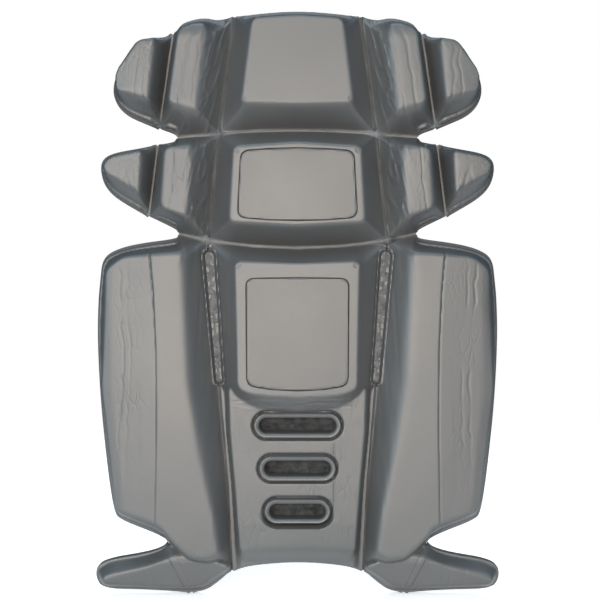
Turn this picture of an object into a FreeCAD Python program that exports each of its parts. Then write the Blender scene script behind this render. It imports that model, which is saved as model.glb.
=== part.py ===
"""Segmented foam back protector: a thick front moulding bonded to a thin backing sheet.

The foam bends at its grooves, so each cell between two grooves is a body of its own, with a
front moulding and a backing, and a thin web of the same foam is left along each hinge line.

Frame: X across the back, Z up the spine, and the body side is the plane Y = 0. The front, which
takes the impact, faces -Y. Sketches are drawn on the XZ plane in millimetres above the tail tips,
and every piece is then lowered by origin_height, so that the origin lies on the body side of the
lower spine. Cells right of the spine are drawn, and the left ones are their mirror images.
"""

import FreeCAD, Part
import itertools
import math
import os

import Sketcher

doc = FreeCAD.newDocument("back_protector")
sheet = doc.addObject("Spreadsheet::Sheet", "Sheet")
sheet_rows = itertools.count(1)

# A sketch's own origin point and vertical axis, and the ends of an edge, as constraints name them.
ORIGIN = (-1, 1)
VERTICAL_AXIS = -2
START, END, CENTRE = 1, 2, 3
TOLERANCE = 1e-6

# Driving dimensions, in millimetres.
SIZES = {
    "origin_height": 130,
    "backing_thick": 5,
    "block_level": 24,
    "rib_level": 23,
    "lobe_level": 22,
    "wing_level": 21,
    "plate_level": 15,
    "tail_level": 14,
    "half_gap": 1.1,
    "web_clearance": 0.3,
    "web_thick": 4,
    "crown_fillet": 3,
    "inlay_thick": 3,
    "inlay_clearance": 0.3,
    "inlay_corner": 5.5,
    "vent_first_z": 122,
    "vent_pitch": 30.5,
    "vent_reach": 22,
    "vent_taper": 3.7,
    "vent_radius": 5.7,
    "vent_lip": 3.3,
    "vent_lip_proud": 1.5,
}

# Points where grooves start, meet and end, as X from the centre line and height.
GROOVE_POINTS = {
    "row_a_mid": (0, 333),
    "row_a_joint": (56.5, 330.5),
    "row_a_tip": (87, 328),
    "row_b_mid": (0, 248.5),
    "row_b_joint": (64.5, 254),
    "row_b_tip": (86, 259),
    "spine_top": (45, 415),
    "rib_top": (89.5, 403),
    "rib_foot": (99.5, 334.5),
    "lobe_top": (100.5, 323),
    "lobe_foot": (107, 271),
    "waist": (56.2, 149.5),
    "low_waist": (50, 78),
    "spine_foot": (47, 16),
    "tail_top": (93, 36),
    "tail_foot": (76, 0.5),
}


def on(point, across, up):
    """A cell corner beside a groove point, half a gap off it across and up."""
    return (point, across, up)


# Backing outlines. A cell on the centre line gives its right half, from top to bottom.
BACKINGS = {
    "upper_spine": [(0, 419.5), (29, 417), on("spine_top", -1, 0), on("row_a_joint", -1, 1),
                    on("row_a_mid", 0, 1)],
    "middle_spine": [on("row_a_mid", 0, -1), on("row_a_joint", -1, -1),
                     on("row_b_joint", -1, 1), on("row_b_mid", 0, 1)],
    "lower_spine": [on("row_b_mid", 0, -1), on("row_b_joint", -1, -1), on("waist", -1, 0),
                    on("low_waist", -1, 0), on("spine_foot", -1, 0), (34.8, 19.5),
                    (14.5, 21.5), (0, 22)],
    "upper_rib": [on("spine_top", 1, 0), (57.3, 412.4), (65.3, 414), (82, 410.3),
                  on("rib_top", -1, 0), on("rib_foot", -1, 0), (89, 331.5),
                  on("row_a_tip", 0, 1), on("row_a_joint", 1, 1)],
    "upper_lobe": [on("rib_top", 1, 0), (97, 400), (104.5, 400), (114, 397.5), (121, 390.5),
                   (132, 368.5), (131.3, 354.5), (124.8, 345.3), (106.6, 337.3),
                   on("rib_foot", 1, 0)],
    "middle_rib": [on("row_a_joint", 1, -1), on("row_a_tip", 0, -1), (87.5, 325.2),
                   on("lobe_top", -1, 0), on("lobe_foot", -1, 0), (87.5, 262.2),
                   on("row_b_tip", 0, 1), on("row_b_joint", 1, 1)],
    "middle_lobe": [on("lobe_top", 1, 0), (111.6, 320.5), (132.7, 316.5), (140, 312),
                    (141.5, 306.8), (139.6, 295), (131, 284.5), (111.7, 273.5),
                    on("lobe_foot", 1, 0)],
    "wing": [on("row_b_joint", 1, -1), on("row_b_tip", 0, -1), (86.5, 255.3), (112.4, 252),
             (129, 247.5), (138.5, 241.5), (142.2, 225.5), (143.6, 211), (143.6, 182),
             (141.5, 138.5), (136.7, 90), (132, 58.5), (128.4, 53.7), (98.7, 41.7),
             on("tail_top", -1, 0), on("tail_foot", -1, 0), (65.3, 2.9), (57.3, 8),
             on("spine_foot", 1, 0), on("low_waist", 1, 0), on("waist", 1, 0)],
    "tail": [on("tail_top", 1, 0), (98, 32.3), (111.3, 28.5), (133.7, 25), (142, 21),
             (144.7, 15.2), (143.5, 8), (137, 3.6), (111.7, 2.9), on("tail_foot", 1, 0)],
}

# Front mouldings: the foot on the backing, the crown that the walls lean in to, and its level.
FRONTS = {
    "upper_spine": ([(0, 417.5), (41.5, 413.5), (54, 335), (0, 337.5)],
                    [(0, 408.5), (32, 406.5), (39.5, 349.5), (0, 348)], "block_level"),
    "middle_spine": ([(0, 329.5), (54.8, 327), (61.8, 258), (0, 253)],
                     [(0, 322), (45, 319), (48, 265.5), (0, 263)], "block_level"),
    "lower_spine": ([(0, 244.5), (55.5, 248.5), (49, 149), (0, 139.5)],
                    [(0, 236.5), (43.6, 238), (40.5, 148.5), (0, 142.5)], "block_level"),
    "upper_rib": ([(47.5, 411.5), (66, 411.5), (85.5, 404), (96, 338.5), (59, 334.8)],
                  [(63.8, 397.8), (70, 397), (83.7, 394), (90, 350), (70.4, 343.5)],
                  "rib_level"),
    "upper_lobe": ([(92.8, 400), (112.5, 396), (128.5, 371), (127.5, 354), (102.2, 338.5)],
                   [(99.2, 390.5), (108.3, 389.7), (119, 373), (125, 359.5), (104, 353.3)],
                   "lobe_level"),
    "middle_rib": ([(60.3, 326.3), (98.3, 320.5), (103.7, 275), (68, 259)],
                   [(74, 318.5), (93, 317), (96, 276.5), (77.5, 270)], "rib_level"),
    "middle_lobe": ([(103, 319.8), (135, 313.8), (137, 297.5), (109.3, 276)],
                    [(109, 314), (130.5, 306.5), (131, 301.5), (110.6, 287)], "lobe_level"),
    "wing": ([(67.5, 248), (127, 244), (138, 234), (139.5, 150), (128.3, 61), (94, 43.5),
              (76.5, 24), (51, 23), (53.3, 80), (60.3, 150)],
             [(81.5, 244), (123, 239.5), (132, 230), (133.5, 150), (123, 66), (91, 50),
              (76, 36), (57, 40), (65.5, 82), (76.3, 152)], "wing_level"),
    "tail": ([(93.5, 30.5), (111, 25.3), (133, 21.7), (140.5, 15), (136.5, 7.2), (112, 6.3),
              (81.5, 5.3)],
             [(97, 24), (111.5, 20.5), (131.5, 17.3), (135.5, 14.3), (132.5, 11.5),
              (112, 10.5), (88, 10)], "tail_level"),
}
VENT_PLATE = ([(0, 152), (51.5, 152), (50, 117), (46.5, 78), (43, 24.5), (0, 25)],
              [(0, 150), (48.5, 150), (47.5, 117), (43.8, 80), (40.5, 27.5), (0, 28)])
VENT_COUNT = 3

# Inlay panels, as half widths at the top and the bottom, then the top and bottom heights.
INLAYS = {
    "middle_spine": (39.5, 42, 315.5, 269.5),
    "lower_spine": (36, 35.5, 226, 150.5),
}

# The groove points that each side web runs through, from its top to its foot. Then, for those
# two ends, 1 or -1 where the web stops half a gap above or below its point, and 0 where it doesn't.
WEBS = {
    "upper_rib": (["spine_top", "row_a_joint"], (0, 1)),
    "middle_rib": (["row_a_joint", "row_b_joint"], (-1, 1)),
    "wing": (["row_b_joint", "waist", "low_waist", "spine_foot"], (-1, 0)),
    "upper_lobe": (["rib_top", "rib_foot"], (0, 0)),
    "middle_lobe": (["lobe_top", "lobe_foot"], (0, 0)),
    "tail": (["tail_top", "tail_foot"], (0, 0)),
}
SPINE_WEBS = {"upper_spine": ("row_a_mid", "row_a_joint"),
              "middle_spine": ("row_b_mid", "row_b_joint")}
CENTRAL = ("upper_spine", "middle_spine", "lower_spine")


def add_row(alias, value):
    """A size in the sheet's next row, under an alias."""
    row = next(sheet_rows)
    sheet.set(f"A{row}", alias)
    sheet.set(f"B{row}", str(value))
    sheet.setAlias(f"B{row}", alias)


def fill_sheet():
    """Every size and groove point in a cell of its own."""
    for alias, value in SIZES.items():
        add_row(alias, value)
    for name, (across, height) in GROOVE_POINTS.items():
        add_row(name + "_x", across)
        add_row(name + "_z", height)


fill_sheet()


def size_of(expression):
    """What an expression comes to: a sum of products of the sheet's cells and numbers."""
    total = 0.0
    for term in expression.replace(" - ", " + -").split(" + "):
        product = -1.0 if term.startswith("-") else 1.0
        for word in term.lstrip("-").split(" * "):
            alias = word.removeprefix("Sheet.")
            product *= float(word if alias == word else getattr(sheet, alias))
        total += product
    return total


def moved(expression, steps, size="half_gap"):
    """An expression with a size of the sheet added, taken away, or neither."""
    return expression + {1: f" + Sheet.{size}", -1: f" - Sheet.{size}", 0: ""}[steps]


def bound(prefix, corners):
    """The two expressions of each corner, giving a free corner two cells of its own."""
    pairs = []
    for number, corner in enumerate(corners, start=1):
        if isinstance(corner[0], str):
            point, across, up = corner
            pairs.append((moved(f"Sheet.{point}_x", across), moved(f"Sheet.{point}_z", up)))
            continue
        names = [f"{prefix}_{axis}_{number}" for axis in "xz"]
        for alias, value in zip(names, corner):
            add_row(alias, value)
        pairs.append(tuple(f"Sheet.{alias}" for alias in names))
    sheet.recompute()
    return pairs


def new_body(label):
    body = doc.addObject("PartDesign::Body", label)
    body.Label = label
    body.setExpression(".Placement.Base.z", "-Sheet.origin_height")
    return body


def new_sketch(body, name, level):
    """An empty sketch on the body side's plane, moved forward to a level of the sheet."""
    sketch = body.newObject("Sketcher::SketchObject", name)
    plane = [f for f in body.Origin.OriginFeatures if f.Role == "XZ_Plane"][0]
    sketch.AttachmentSupport = (plane, [""])
    sketch.MapMode = "FlatFace"
    if level:
        sketch.setExpression(".AttachmentOffset.Base.z", level)
    return sketch


def place_point(sketch, geometry, end, pair, name):
    """Ties a point's X and height to the sheet. A point on the centre line has no X size."""
    if abs(size_of(pair[0])) < TOLERANCE:
        sketch.addConstraint(Sketcher.Constraint("PointOnObject", geometry, end, VERTICAL_AXIS))
    else:
        across = sketch.addConstraint(
            Sketcher.Constraint("DistanceX", *ORIGIN, geometry, end, size_of(pair[0])))
        sketch.renameConstraint(across, name + "_x")
        sketch.setExpression(f"Constraints[{across}]", pair[0])
    height = sketch.addConstraint(
        Sketcher.Constraint("DistanceY", *ORIGIN, geometry, end, size_of(pair[1])))
    sketch.renameConstraint(height, name + "_z")
    sketch.setExpression(f"Constraints[{height}]", pair[1])


def closed_outline(body, name, pairs, level=None, central=False):
    """A closed outline of straight edges. A central one is its right half and the mirror of it."""
    sketch = new_sketch(body, name, level)
    points = [FreeCAD.Vector(size_of(x), size_of(z), 0) for x, z in pairs]
    twins = {}
    if central:
        for i in range(len(pairs) - 1, -1, -1):
            if points[i].x > 0:
                twins[len(points)] = i
                points.append(FreeCAD.Vector(-points[i].x, points[i].y, 0))
    count = len(points)
    for i in range(count):
        sketch.addGeometry(Part.LineSegment(points[i], points[(i + 1) % count]), False)
    for i in range(count):
        sketch.addConstraint(Sketcher.Constraint("Coincident", i, END, (i + 1) % count, START))
    for i, pair in enumerate(pairs):
        place_point(sketch, i, START, pair, f"corner_{i + 1}")
    for left, right in twins.items():
        sketch.addConstraint(
            Sketcher.Constraint("Symmetric", left, START, right, START, VERTICAL_AXIS))
    return sketch


def outline(body, name, corners, level=None, central=False):
    """A closed outline whose free corners get cells of their own in the sheet."""
    return closed_outline(body, name, bound(name, corners), level, central)


def obround(body, name, reach, radius, height, level):
    """A slot outline across the centre line: its end centres at reach, its ends round."""
    sketch = new_sketch(body, name, level)
    x, r, z = size_of(reach), size_of(radius), size_of(height)
    for side in (1, -1):
        circle = Part.Circle(FreeCAD.Vector(side * x, z, 0), FreeCAD.Vector(0, 0, 1), r)
        start = -side * math.pi / 2
        sketch.addGeometry(Part.ArcOfCircle(circle, start, start + math.pi), False)
    for level_sign in (1, -1):
        ends = [FreeCAD.Vector(s * x, z + level_sign * r, 0) for s in (level_sign, -level_sign)]
        sketch.addGeometry(Part.LineSegment(*ends), False)
    for first, second in ((0, 2), (2, 1), (1, 3), (3, 0)):
        sketch.addConstraint(Sketcher.Constraint("Tangent", first, END, second, START))
    sketch.addConstraint(Sketcher.Constraint("Symmetric", 0, CENTRE, 1, CENTRE, VERTICAL_AXIS))
    for kind, arguments, value, expression in (
            ("DistanceX", (*ORIGIN, 0, CENTRE), x, reach),
            ("DistanceY", (*ORIGIN, 0, CENTRE), z, height),
            ("Radius", (0,), r, radius)):
        index = sketch.addConstraint(Sketcher.Constraint(kind, *arguments, value))
        sketch.setExpression(f"Constraints[{index}]", expression)
    return sketch


def pad(body, name, sketch, length):
    feature = body.newObject("PartDesign::Pad", name)
    feature.Profile = sketch
    feature.setExpression("Length", length)
    return feature


def loft(body, name, foot, crown):
    feature = body.newObject("PartDesign::AdditiveLoft", name)
    feature.Profile = foot
    feature.Sections = [crown]
    feature.Ruled = True
    return feature


def pocket(body, name, sketch, depth):
    """A cut from the sketch's level back towards the body side, checked by volume."""
    before = body.Shape.Volume
    feature = body.newObject("PartDesign::Pocket", name)
    feature.Profile = sketch
    feature.setExpression("Length", depth)
    doc.recompute()
    if not body.Shape.Volume < before:
        raise RuntimeError(f"{body.Label}: {name} cuts nothing")
    return feature


def round_crown(body, base, level):
    """Rounds the crown's rim, where the walls meet the top face."""
    doc.recompute()
    front = -size_of(level)
    rim = [f"Edge{i}" for i, edge in enumerate(base.Shape.Edges, start=1)
           if all(abs(vertex.Y - front) < TOLERANCE for vertex in edge.Vertexes)]
    fillet = body.newObject("PartDesign::Fillet", body.Label + "_rim")
    fillet.Base = (base, rim)
    fillet.setExpression("Radius", "Sheet.crown_fillet")
    return fillet


def backing(cell):
    body = new_body(cell_label(cell, "backing"))
    sketch = outline(body, cell + "_backing_edge", BACKINGS[cell], central=cell in CENTRAL)
    pad(body, cell + "_backing_sheet", sketch, "Sheet.backing_thick")
    return body


def front(cell):
    """The thick moulding of a cell: drafted walls from its foot to its rounded crown."""
    foot_corners, crown_corners, level = FRONTS[cell]
    central = cell in CENTRAL
    body = new_body(cell_label(cell, "front"))
    foot = outline(body, cell + "_foot", foot_corners, "Sheet.backing_thick", central)
    crown = outline(body, cell + "_crown", crown_corners, "Sheet." + level, central)
    block = loft(body, cell + "_block", foot, crown)
    round_crown(body, block, "Sheet." + level)
    return body


def cell_label(cell, kind):
    return f"{cell}_{kind}" if cell in CENTRAL else f"{cell}_{kind}_right"


def add_vent_plate(body):
    """The low plate under the lower block, with raised lips round three through slots."""
    foot = outline(body, "plate_foot", VENT_PLATE[0], "Sheet.backing_thick", True)
    crown = outline(body, "plate_crown", VENT_PLATE[1], "Sheet.plate_level", True)
    loft(body, "vent_plate", foot, crown)
    doc.recompute()
    for number in range(VENT_COUNT):
        reach = f"Sheet.vent_reach - {number} * Sheet.vent_taper"
        height = f"Sheet.vent_first_z - {number} * Sheet.vent_pitch"
        lip = obround(body, f"vent_lip_edge_{number + 1}", reach,
                      "Sheet.vent_radius + Sheet.vent_lip", height, "Sheet.plate_level")
        pad(body, f"vent_lip_{number + 1}", lip, "Sheet.vent_lip_proud")
        slot = obround(body, f"vent_edge_{number + 1}", reach, "Sheet.vent_radius", height,
                       "Sheet.plate_level + Sheet.vent_lip_proud")
        doc.recompute()
        pocket(body, f"vent_{number + 1}", slot,
               "Sheet.plate_level + Sheet.vent_lip_proud - Sheet.backing_thick")


def panel_outline(body, name, cell, grow, level):
    """An inlay's outline, moved out by a size of the sheet or, with none, as it is."""
    outward = {"top_half": 1, "foot_half": 1, "top": 1, "foot": -1}
    cell_of = {}
    for word, value in zip(outward, INLAYS[cell]):
        add_row(f"{name}_{word}", value)
        cell_of[word] = moved(f"Sheet.{name}_{word}", outward[word] if grow else 0, grow)
    sheet.recompute()
    sketch = new_sketch(body, name, level)
    corners = [(cell_of["top_half"], cell_of["top"]), (cell_of["foot_half"], cell_of["foot"])]
    points = [FreeCAD.Vector(size_of(x), size_of(z), 0) for x, z in corners]
    points += [FreeCAD.Vector(-p.x, p.y, 0) for p in reversed(points)]
    for i, point in enumerate(points):
        sketch.addGeometry(Part.LineSegment(point, points[(i + 1) % len(points)]), False)
    for i in range(len(points)):
        after = (i + 1) % len(points)
        sketch.addConstraint(Sketcher.Constraint("Coincident", i, END, after, START))
    for i, pair in enumerate(corners):
        place_point(sketch, i, START, pair, f"panel_{i + 1}")
    for left, right in ((3, 0), (2, 1)):
        sketch.addConstraint(
            Sketcher.Constraint("Symmetric", left, START, right, START, VERTICAL_AXIS))
    return sketch


def upright_edges(shape):
    """The edges that run front to back."""
    return [f"Edge{i}" for i, edge in enumerate(shape.Edges, start=1)
            if abs(edge.Vertexes[0].Y - edge.Vertexes[-1].Y) > 1
            and abs(edge.Vertexes[0].X - edge.Vertexes[-1].X) < TOLERANCE]


def inlay(cell):
    """A thin panel that fills the recess in a block's top face, flush with it."""
    body = new_body(f"{cell.split('_')[0]}_inlay_panel")
    sketch = panel_outline(body, f"{cell}_inlay_edge", cell, None,
                           "Sheet.block_level - Sheet.inlay_thick")
    panel = pad(body, f"{cell}_inlay_plate", sketch, "Sheet.inlay_thick")
    doc.recompute()
    corners = body.newObject("PartDesign::Fillet", f"{cell}_inlay_corners")
    corners.Base = (panel, upright_edges(panel.Shape))
    corners.setExpression("Radius", "Sheet.inlay_corner")
    return body


def cut_recess(body, cell):
    """The recess that an inlay panel lies in, a clearance larger all round."""
    sketch = panel_outline(body, f"{cell}_recess_edge", cell, "inlay_clearance",
                           "Sheet.block_level")
    doc.recompute()
    pocket(body, f"{cell}_recess", sketch, "Sheet.inlay_thick")


def web(cell):
    """The thin strip along a cell's hinge line: on the cell's edge, clear of its neighbour's."""
    points, ends = WEBS[cell]
    steps = [0] * len(points)
    steps[0], steps[-1] = ends
    near, far = [], []
    for point, up in zip(points, steps):
        across, height = f"Sheet.{point}_x", moved(f"Sheet.{point}_z", up)
        near.append((moved(across, -1) + " + Sheet.web_clearance", height))
        far.append((moved(across, 1), height))
    return web_body(f"{cell}_web_right", near + far[::-1])


def spine_web(cell):
    """The web across the spine below a row, which follows the groove's gentle bow."""
    middle, joint = SPINE_WEBS[cell]
    ends = [(f"Sheet.{middle}_x", f"Sheet.{middle}_z"),
            (moved(f"Sheet.{joint}_x", -1), f"Sheet.{joint}_z")]
    upper = [(x, moved(z, 1)) for x, z in ends]
    lower = [(x, moved(z, -1) + " + Sheet.web_clearance") for x, z in ends]
    return web_body(f"{cell}_web", upper + lower[::-1], central=True)


def web_body(label, corners, central=False):
    body = new_body(label)
    sketch = closed_outline(body, label + "_edge", corners, central=central)
    pad(body, label + "_strip", sketch, "Sheet.web_thick")
    return body


def mirrored(body):
    """The left twin of a right-hand piece."""
    twin = doc.addObject("Part::Mirroring", body.Label.replace("_right", "_left"))
    twin.Label = body.Label.replace("_right", "_left")
    twin.Source = body
    twin.Base = FreeCAD.Vector(0, 0, 0)
    twin.Normal = FreeCAD.Vector(1, 0, 0)
    return twin


def check(pieces):
    for item in doc.Objects:
        if {"Invalid", "Error"} & set(item.State):
            raise RuntimeError(f"{item.Label} failed: {item.State}")
    for piece in pieces:
        shape = piece.Shape
        if shape.isNull() or not shape.isValid() or len(shape.Solids) != 1:
            raise RuntimeError(f"{piece.Label} isn't one valid solid")


def write(pieces):
    os.makedirs("parts", exist_ok=True)
    for piece in pieces:
        piece.Shape.exportStep(f"parts/{piece.Label}.step")
        print(f"{piece.Label}: {piece.Shape.Volume:.0f} mm3")


def build():
    pieces = []
    for cell in BACKINGS:
        pieces.append(backing(cell))
        body = front(cell)
        if cell == "lower_spine":
            add_vent_plate(body)
        if cell in INLAYS:
            cut_recess(body, cell)
            pieces.append(inlay(cell))
        pieces.append(body)
    pieces += [web(cell) for cell in WEBS]
    pieces += [spine_web(cell) for cell in SPINE_WEBS]
    doc.recompute()
    pieces += [mirrored(body) for body in pieces if body.Label.endswith("_right")]
    doc.recompute()
    check(pieces)
    write(pieces)


build()
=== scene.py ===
"""A segmented foam back protector: moulded cells on a thin backing, joined by foam hinge webs.

Every outline is in millimetres: X across the back, and height above the tail tips. Depth counts
from the flat body side towards the front, so a depth of d lies at Y = -d in the frame.
"""
import math

import bmesh
import bpy
import numpy as np
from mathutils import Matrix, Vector


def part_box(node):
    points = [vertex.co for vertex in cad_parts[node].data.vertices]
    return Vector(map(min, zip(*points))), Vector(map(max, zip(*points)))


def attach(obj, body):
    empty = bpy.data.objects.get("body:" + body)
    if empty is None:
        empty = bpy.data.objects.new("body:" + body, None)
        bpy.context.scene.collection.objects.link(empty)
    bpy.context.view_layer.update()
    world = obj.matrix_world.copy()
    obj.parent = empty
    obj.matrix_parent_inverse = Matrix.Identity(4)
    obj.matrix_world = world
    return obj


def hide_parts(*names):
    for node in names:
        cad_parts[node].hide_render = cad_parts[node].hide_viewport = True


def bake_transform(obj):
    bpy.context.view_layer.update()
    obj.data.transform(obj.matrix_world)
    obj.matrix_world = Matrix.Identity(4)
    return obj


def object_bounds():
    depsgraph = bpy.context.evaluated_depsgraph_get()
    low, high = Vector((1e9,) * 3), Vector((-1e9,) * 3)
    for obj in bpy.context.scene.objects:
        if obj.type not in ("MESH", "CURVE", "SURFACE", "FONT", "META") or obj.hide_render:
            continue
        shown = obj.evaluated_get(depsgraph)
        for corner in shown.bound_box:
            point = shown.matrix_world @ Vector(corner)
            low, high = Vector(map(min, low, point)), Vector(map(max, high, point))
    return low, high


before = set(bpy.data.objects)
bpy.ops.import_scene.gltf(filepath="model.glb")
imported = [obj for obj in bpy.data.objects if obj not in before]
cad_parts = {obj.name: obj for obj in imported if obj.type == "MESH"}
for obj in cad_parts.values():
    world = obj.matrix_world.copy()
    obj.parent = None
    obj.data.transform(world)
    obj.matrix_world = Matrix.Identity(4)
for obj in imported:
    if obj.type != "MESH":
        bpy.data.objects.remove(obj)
cad_low, cad_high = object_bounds()

MM = 0.001
TOP_HEIGHT = 419.5
TAIL_TIP_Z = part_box("upper_spine_backing")[1].z - TOP_HEIGHT * MM
PARTING = 5.0
HALF_GAP = 1.1
FRONT_HALF_GAP = 0.7
GROOVE_FLOOR = 5.9
FLANGE = 8.2
BLOCK_TOP = 24.0
GRID = 0.62
SIDES = {"left": -1, "right": 1}
# How far corners are bent over: of crowns, of the feet of walls, and of the wing's end.
CROWN_CORNER, FOOT_CORNER, END_CORNER = 5.0, 4.0, 3.0
LONGEST_BEND = 0.45         # the share of an edge that a corner may take
SAME_POINT, TINY = 1e-3, 1e-9

POINTS = {
    "row_a_mid": (0, 333), "row_a_joint": (56.5, 330.5), "row_a_tip": (87, 328),
    "row_b_mid": (0, 248.5), "row_b_joint": (64.5, 254), "row_b_tip": (86, 259),
    "spine_top": (45, 415), "rib_top": (89.5, 403), "rib_foot": (99.5, 334.5),
    "lobe_top": (100.5, 323), "lobe_foot": (107, 271), "waist": (56.2, 149.5),
    "low_waist": (50, 78), "spine_foot": (47, 16), "tail_top": (93, 36),
    "tail_foot": (76, 0.5),
}
SHARP, SMOOTH = 0.0, 0.5
SPINE_BOW = (0.25, 0.5, 0.75)


def bow(mid, joint, up):
    """Points of a smooth arc from the centre line to a joint, moved up or down."""
    (_, low), (reach, high) = POINTS[mid], POINTS[joint]
    return [(reach * t, low + (high - low) * t * t + up * HALF_GAP, SHARP) for t in SPINE_BOW]


def on(point, across, up, softness=SHARP):
    """A corner half a gap off a groove point, across and up."""
    x, z = POINTS[point]
    return (x + across * HALF_GAP, z + up * HALF_GAP, softness)


# ---------------------------------------- outlines
# A corner is (X, height), rounded off, or a sharp corner on a groove. Central cells list
# their right half from top to bottom.
OUTLINES = {
    "upper_spine": [(0, 419.5), (29, 417.3), on("spine_top", -1, 0), on("row_a_joint", -1, 1),
                    *reversed(bow("row_a_mid", "row_a_joint", 1)), (0, 334.1, SHARP)],
    "middle_spine": [(0, 331.9, SHARP), *bow("row_a_mid", "row_a_joint", -1),
                     on("row_a_joint", -1, -1), on("row_b_joint", -1, 1),
                     *reversed(bow("row_b_mid", "row_b_joint", 1)), (0, 249.6, SHARP)],
    "lower_spine": [(0, 247.4, SHARP), *bow("row_b_mid", "row_b_joint", -1),
                    on("row_b_joint", -1, -1), on("waist", -1, 0),
                    on("low_waist", -1, 0), on("spine_foot", -1, 0), (34.8, 19.5),
                    (14.5, 21.5), (0, 22)],
    "upper_rib": [on("spine_top", 1, 0), (57.3, 412.2), (66, 414.6), (76, 412.8), (84, 409.8),
                  on("rib_top", -1, 0), on("rib_foot", -1, 0), (89, 331.2),
                  on("row_a_tip", 0, 1), on("row_a_joint", 1, 1)],
    "upper_lobe": [on("rib_top", 1, 0), (97, 400), (106, 400.5), (116, 397), (123, 388.5),
                   (132.3, 370), (133, 357), (125.5, 345), (106.6, 337),
                   on("rib_foot", 1, 0)],
    "middle_rib": [on("row_a_joint", 1, -1), on("row_a_tip", 0, -1), (88, 325.2),
                   on("lobe_top", -1, 0), on("lobe_foot", -1, 0), (88, 262.4),
                   on("row_b_tip", 0, 1), on("row_b_joint", 1, 1)],
    "middle_lobe": [on("lobe_top", 1, 0), (111.6, 320.7), (133.5, 317), (141, 312),
                    (142, 304), (139, 293), (130.5, 284), (111.7, 273.2),
                    on("lobe_foot", 1, 0)],
    "wing": [on("row_b_joint", 1, -1), on("row_b_tip", 0, -1), (87, 255.3), (112.4, 252.2),
             (129.5, 248.2), (140.5, 241.5), (142.2, 225.5), (143.6, 211), (144.2, 182),
             (142, 138.5), (137, 90), (132.3, 58.5), (128, 52.7), (98.7, 41.7),
             on("tail_top", -1, 0), on("tail_foot", -1, 0), (65.3, 2.2), (57.3, 8),
             on("spine_foot", 1, 0), on("low_waist", 1, 0), on("waist", 1, 0)],
    "tail": [on("tail_top", 1, 0), (98, 32.3), (111.3, 28.5), (134, 25), (144.5, 20.5),
             (145.5, 11), (140, 3), (111.7, 2.6), on("tail_foot", 1, 0)],
}
CENTRAL = ("upper_spine", "middle_spine", "lower_spine")

# Raised blocks: crown outline, crown depth, and how softly its edge rolls over.
BLOCKS = {
    "upper_spine": ([(0, 411), (32, 409), (39.5, 349.5), (0, 348.5)], BLOCK_TOP, 0.8),
    "middle_spine": ([(0, 322), (45, 319), (48, 265.8), (0, 263.2)], BLOCK_TOP, 0.8),
    "lower_spine": ([(0, 236.5), (43.6, 238), (42, 149.3), (34, 145.2), (20, 143.4),
                     (0, 142.7)], BLOCK_TOP, 0.4),
    "upper_rib": ([(64, 406.5), (73, 406.8), (84.5, 401.5), (91.5, 349), (70, 342.5)], 23.6, 2.2),
    "upper_lobe": ([(99, 396), (112.5, 394.5), (128.5, 371.5), (128.5, 357.5), (103.5, 350)],
                   23.2, 3.2),
    "middle_rib": ([(73.3, 320.5), (94, 318.5), (97, 276), (77, 268.5)], 23.4, 2.1),
    "middle_lobe": ([(108.3, 317), (132, 312.5), (137.5, 307.5), (136, 299.5), (110.3, 284.5)],
                    22.8, 3.0),
    "wing": ([(80, 245.5), (124, 242), (136, 233), (138.8, 150), (129, 62), (97, 50.5),
              (86, 37.5), (76, 28.5), (63, 26.5), (55, 31), (58.5, 60), (66, 96),
              (75.3, 152)], 21.6, 2.1),
}
# The tail's block runs on under the wing's end, so that its surface crosses the hinge.
TAIL_FOOT = [(45.5, 24), (64, 33), (93, 38), (98, 31), (111, 27), (134, 23.2), (143, 18.5),
             (144, 11), (139, 4.6), (112, 4), (76, 2), (65.5, 3.8), (58, 9.5), (47, 17.5)]
TAIL_CROWN = [(49.5, 22), (66, 28), (86, 29.5), (98, 25), (106, 21.8), (134, 15), (139.5, 12.5),
              (138, 8.2), (112, 7.2), (78, 6), (67, 8), (60, 13.5), (50, 19.5)]
TAIL_LEVEL, TAIL_ROUND, TAIL_FLANGE, TAIL_WALL_SLOPE = 14.0, 0.9, 5.6, 5.5
TAIL_FALL = (24, 0.13)      # below this height, by this much for each millimetre
WING_END = [(30, 23), (49.7, 21.8), (63, 20), (76.5, 22), (88, 31), (96, 43), (150, 43),
            (150, 260), (30, 260)]
# Walls that start inside their cell: the lower block's end, and the plate below it.
LOWER_BLOCK_FOOT = [(0, 248), (63.5, 252.5), (56, 149.5), (47, 137), (33, 124), (0, 119.5)]
PLATE_FOOT = [(0, 158), (53, 158), (51.5, 117), (47.6, 78), (44, 19), (0, 20.8)]
PLATE = ([(0, 150), (49.3, 150), (48.2, 117), (44.6, 78), (41, 31), (0, 33)], 15.0, 1.1)
PLATE_FALL = (52, 0.05)     # as TAIL_FALL
# Crowns that fall away past a line, as (X, height, rate along X, rate along height).
DROOPS = {"upper_lobe": (107, 385, 0.003, 0.004), "middle_lobe": (115, 999, 0.0015, 0),
          "upper_rib": (999, 395, 0, 0.015)}
# Small round marks that the mould's pins leave in the spine blocks.
PIN_MARKS = {"upper_spine": (37.6, 352.6), "middle_spine": (42.6, 316.3),
             "lower_spine": (41.2, 235.2)}
PIN_RADIUS, PIN_LINE, PIN_DEEP = 1.1, 0.5, 0.4

# Panels: half width and height at the top corners, then at the foot, and the bow of each end.
PANELS = {"middle_spine": ((39.7, 315.8), (42.2, 269), 1.9, 2.3),
          "lower_spine": ((36.2, 226.2), (35.6, 151), 0.6, 3.6)}
PANEL_CORNER = 6.0
PANEL_GAP = 0.42
PANEL_DEPTH = 3.0
PANEL_ROLL, EDGE_ROLL = 0.9, 1.6

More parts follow.
